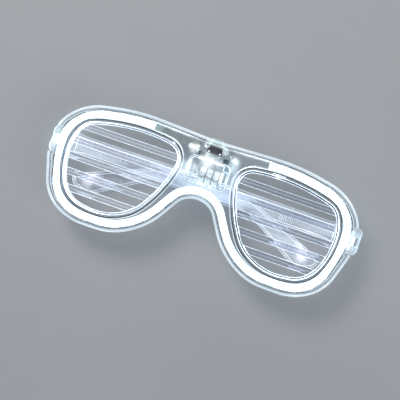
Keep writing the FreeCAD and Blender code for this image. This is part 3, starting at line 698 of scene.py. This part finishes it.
def lamp_pads():
    """Pairs of solder pads, one pair for each small lamp along the flexible circuit, seen from the back."""
    g = Grower("lamp_pads")
    pitch = g.size("Pitch", PAD_PITCH)
    length = g.size("Pad length", PAD_LENGTH)
    width = g.size("Pad width", PAD_WIDTH)
    thickness = g.size("Pad thickness", PAD_THICKNESS)
    gap = g.size("Gap", PAD_GAP)
    curve = g.node("GeometryNodeMeshToCurve", sockets={0: g.start()})
    points = g.node("GeometryNodeCurveToPoints", {"mode": "LENGTH"}, {"Curve": curve, "Length": pitch})
    pad_size = g.node("ShaderNodeCombineXYZ", sockets={0: width, 1: thickness, 2: length})
    pad = g.node("GeometryNodeMeshCube", sockets={"Size": pad_size})
    step = g.node("ShaderNodeCombineXYZ", sockets={2: gap})
    second = g.node("GeometryNodeTransform", sockets={0: pad, "Translation": step})
    pair = g.node("GeometryNodeJoinGeometry", sockets={0: [pad, second]})
    placed = g.node("GeometryNodeInstanceOnPoints",
                    sockets={0: points, "Instance": pair, "Rotation": points.node.outputs["Rotation"]})
    lowered = g.node("GeometryNodeTransform", sockets={0: placed, "Translation": PAD_DROP})
    return g.grow(lowered, strip_middle(), solder_finish, "front")


# ---------------------------------------------------------------- ribs in the arms
ARM_LEAN = math.radians(1.0)
ARM_HINGE = Vector((77.9, -0.254, 6.123)) * MM
ARM_OUT, ARM_THICKNESS, PANEL_DEPTH = 3.6 * MM, 2.2 * MM, 0.5 * MM
RIB_COUNT, RIB_PITCH, RIB_SIZE = 27, 1.1 * MM, in_metres((0.42, 2.4, 0.34))
# The first rib's middle in the arm's own frame, its height measured from the panel's floor
RIBS_X, RIBS_Y, RIBS_HEIGHT = 8.0 * MM, 5.0 * MM, 0.16 * MM


def arm_place(side):
    """From an arm's own frame (X to the tip, Z towards the face) to its place at rest."""
    flip = Matrix.Diagonal((-side, 1, 1, 1))
    hinge = Matrix.Translation((side * ARM_HINGE.x, ARM_HINGE.y, ARM_HINGE.z))
    return hinge @ Matrix.Rotation(-ARM_LEAN, 4, "Y") @ flip


def arm_ribs(side, body, plastic):
    """Fine cross ribs moulded in the arm's panel, which catch the light."""
    g = Grower(body + "_ribs")
    count = g.size("Ribs", RIB_COUNT, "NodeSocketInt")
    pitch = g.size("Pitch", RIB_PITCH)
    rib = g.size("Rib", RIB_SIZE, "NodeSocketVector")
    step = g.node("ShaderNodeCombineXYZ", sockets={0: pitch})
    row = g.node("GeometryNodeMeshLine",
                 sockets={"Count": count, "Start Location": (0, 0, 0), "Offset": step})
    bar = g.node("GeometryNodeMeshCube", sockets={"Size": rib})
    placed = g.node("GeometryNodeInstanceOnPoints", sockets={0: row, "Instance": bar})
    piece = g.grow(placed, bpy.data.meshes.new("rib_start"), plastic, body)
    panel_floor = ARM_THICKNESS - ARM_OUT - PANEL_DEPTH
    piece.data.transform(Matrix.Translation((RIBS_X, RIBS_Y, panel_floor + RIBS_HEIGHT)))
    piece.data.transform(arm_place(side))
    if side > 0:
        piece.data.flip_normals()
    return piece


# ---------------------------------------------------------------- solder and small parts on the board
# Solder beads: radius and height in mm, and where they sit on the board
BEADS = (
    (0.75, 0.55, ((-5.0, 26.3), (5.0, 26.2), (-3.0, 23.3), (3.1, 23.2))),
    (0.55, 0.45, ((-8.3, 24.9), (-8.3, 22.6), (8.4, 25.2), (-3.4, 21.7), (4.6, 21.6))),
)
BEAD_SEGMENTS, BEAD_RINGS = 14, 8
# The switch lid's folded tabs, in mm
TAB_PLACES, TAB_SIZE, TAB_LIFT = ((-2.7, 24.45), (3.0, 24.4)), (0.9, 0.7, 0.06), 0.03
# A resistor and a diode: middle and size in mm, turn in radians
BOARD_PARTS = (
    ((-6.0, 22.2), (3.2, 1.7, 0.8), 0.05),
    ((7.1, 22.2), (3.0, 2.0, 0.8), 0.1),
)
CHIP_BEVEL = 0.16


def block(mesh, centre, size, turn=0.0):
    """A small block with bevelled edges."""
    made = bmesh.ops.create_cube(mesh, size=1.0)
    spot = Matrix.Translation(centre) @ Matrix.Rotation(turn, 4, "Z") @ Matrix.Diagonal((*size, 1))
    bmesh.ops.transform(mesh, matrix=spot, verts=made["verts"])
    edges = {edge for vert in made["verts"] for edge in vert.link_edges}
    bmesh.ops.bevel(mesh, geom=list(edges), offset=min(size) * CHIP_BEVEL, segments=2, affect="EDGES")


def board_solder(mesh):
    """Low round beads of solder at the switch's pins and the small parts' ends."""
    for radius, height, places in BEADS:
        for x, y in places:
            made = bmesh.ops.create_uvsphere(mesh, u_segments=BEAD_SEGMENTS, v_segments=BEAD_RINGS,
                                             radius=radius * MM)
            for vert in made["verts"]:
                low = Vector((vert.co.x, vert.co.y, vert.co.z * height / radius))
                vert.co = low + Vector((x * MM, y * MM, BOARD_FACE))


def switch_tabs(mesh):
    """Folded tabs of the switch's metal lid, on its face."""
    for x, y in TAB_PLACES:
        block(mesh, (x * MM, y * MM, SWITCH_FACE + TAB_LIFT * MM), Vector(TAB_SIZE) * MM)


def board_chips(mesh):
    """A resistor and a diode, dark blocks each side of the switch."""
    for (x, y), size, turn in BOARD_PARTS:
        block(mesh, (x * MM, y * MM, BOARD_FACE + size[2] / 2 * MM), Vector(size) * MM, turn)


def from_sketch(name, draw, finish, body):
    """A smooth-shaded piece from a function that draws it."""
    sketch = bmesh.new()
    draw(sketch)
    made = outward_mesh(name, sketch)
    for face in made.polygons:
        face.use_smooth = True
    return add_piece(name, made, finish, body)


flexible_circuit()
lamp_pads()
arm_ribs(-1, "left_arm", left_rib_plastic)
arm_ribs(1, "right_arm", right_rib_plastic)
from_sketch("board_solder", board_solder, solder_finish, "front")
from_sketch("switch_tabs", switch_tabs, tab_finish, "front")
from_sketch("board_chips", board_chips, part_finish, "front")


# ---------------------------------------------------------------- floor, light and camera
FLOOR_REACH = 14.0
# The folded glasses lie on the shelf. The floor is far enough below it for the open arms
SHELF_LEVEL, FLOOR_LEVEL = -0.0002, -0.145
SHELF_MILKINESS = 0.55
AIR_COLOUR, AIR_STRENGTH = colour(0.80, 0.86, 0.95), 0.24
CAMERA_LENS, CAMERA_SENSOR = 81.0, 36.0
CAMERA_PLACE, CAMERA_TURN = (0.0355447, 0.0115603, 0.4628924), (0.0006145, 0.0813354, 0.3348944)
BLOOM = {"Threshold": 1.3, "Strength": 0.14, "Size": 0.4, "Tint": (0.62, 0.84, 1.0, 1.0)}


def pale_sheet(name, level, milkiness):
    """A plain pale floor, or a shelf of milky glass through which the open arms still show."""
    f = Finish(name)
    grain = f.noise(30.0, detail=4.0)
    base = f.mix_colour(grain, colour(0.80, 0.815, 0.83), colour(0.84, 0.855, 0.87))
    mesh = bpy.data.meshes.new(name)
    r = FLOOR_REACH
    mesh.from_pydata([(-r, -r, level), (r, -r, level), (r, r, level), (-r, r, level)], [], [(0, 1, 2, 3)])
    mesh.materials.append(f.surface(Base_Color=base, Roughness=0.6, Alpha=milkiness))
    sheet = bpy.data.objects.new(name, mesh)
    bpy.context.collection.objects.link(sheet)


def soft_light(name, place, width, power, tint):
    """A round soft box that faces the middle of the glasses."""
    lamp = bpy.data.lights.new(name, "AREA")
    lamp.shape = "DISK"
    lamp.size = width
    lamp.energy = power
    lamp.color = tint
    holder = bpy.data.objects.new(name, lamp)
    holder.location = place
    holder.rotation_euler = (-Vector(place)).to_track_quat("-Z", "Y").to_euler()
    bpy.context.collection.objects.link(holder)


def studio_air():
    """Even light from all round."""
    world = bpy.data.worlds.new("studio_air")
    world.use_nodes = True
    background = world.node_tree.nodes["Background"]
    background.inputs["Color"].default_value = AIR_COLOUR
    background.inputs["Strength"].default_value = AIR_STRENGTH
    bpy.context.scene.world = world


def photo_camera():
    camera_data = bpy.data.cameras.new("photo_camera")
    camera_data.lens = CAMERA_LENS
    camera_data.sensor_width = CAMERA_SENSOR
    camera = bpy.data.objects.new("photo_camera", camera_data)
    camera.location = CAMERA_PLACE
    camera.rotation_euler = Euler(CAMERA_TURN)
    bpy.context.collection.objects.link(camera)
    bpy.context.scene.camera = camera
    bpy.context.scene.view_settings.view_transform = "Standard"


def soft_bloom():
    """The small halo that a camera sees round a bright lamp."""
    scene = bpy.context.scene
    scene.use_nodes = True
    tree = scene.node_tree
    tree.nodes.clear()
    layers = add_node(tree, "CompositorNodeRLayers")
    glare = add_node(tree, "CompositorNodeGlare", {"glare_type": "BLOOM", "quality": "HIGH"},
                     {**BLOOM, "Image": layers.outputs["Image"]})
    add_node(tree, "CompositorNodeComposite", sockets={"Image": glare.outputs["Image"]})


pale_sheet("milky_shelf", SHELF_LEVEL, SHELF_MILKINESS)
pale_sheet("studio_floor", FLOOR_LEVEL, 1.0)
soft_light("key_light", place=(-0.55, 0.55, 0.75), width=0.5, power=4.0, tint=(1.0, 0.99, 0.97))
soft_light("fill_light", place=(0.75, -0.25, 0.6), width=0.6, power=1.6, tint=(0.92, 0.96, 1.0))
studio_air()
photo_camera()
soft_bloom()
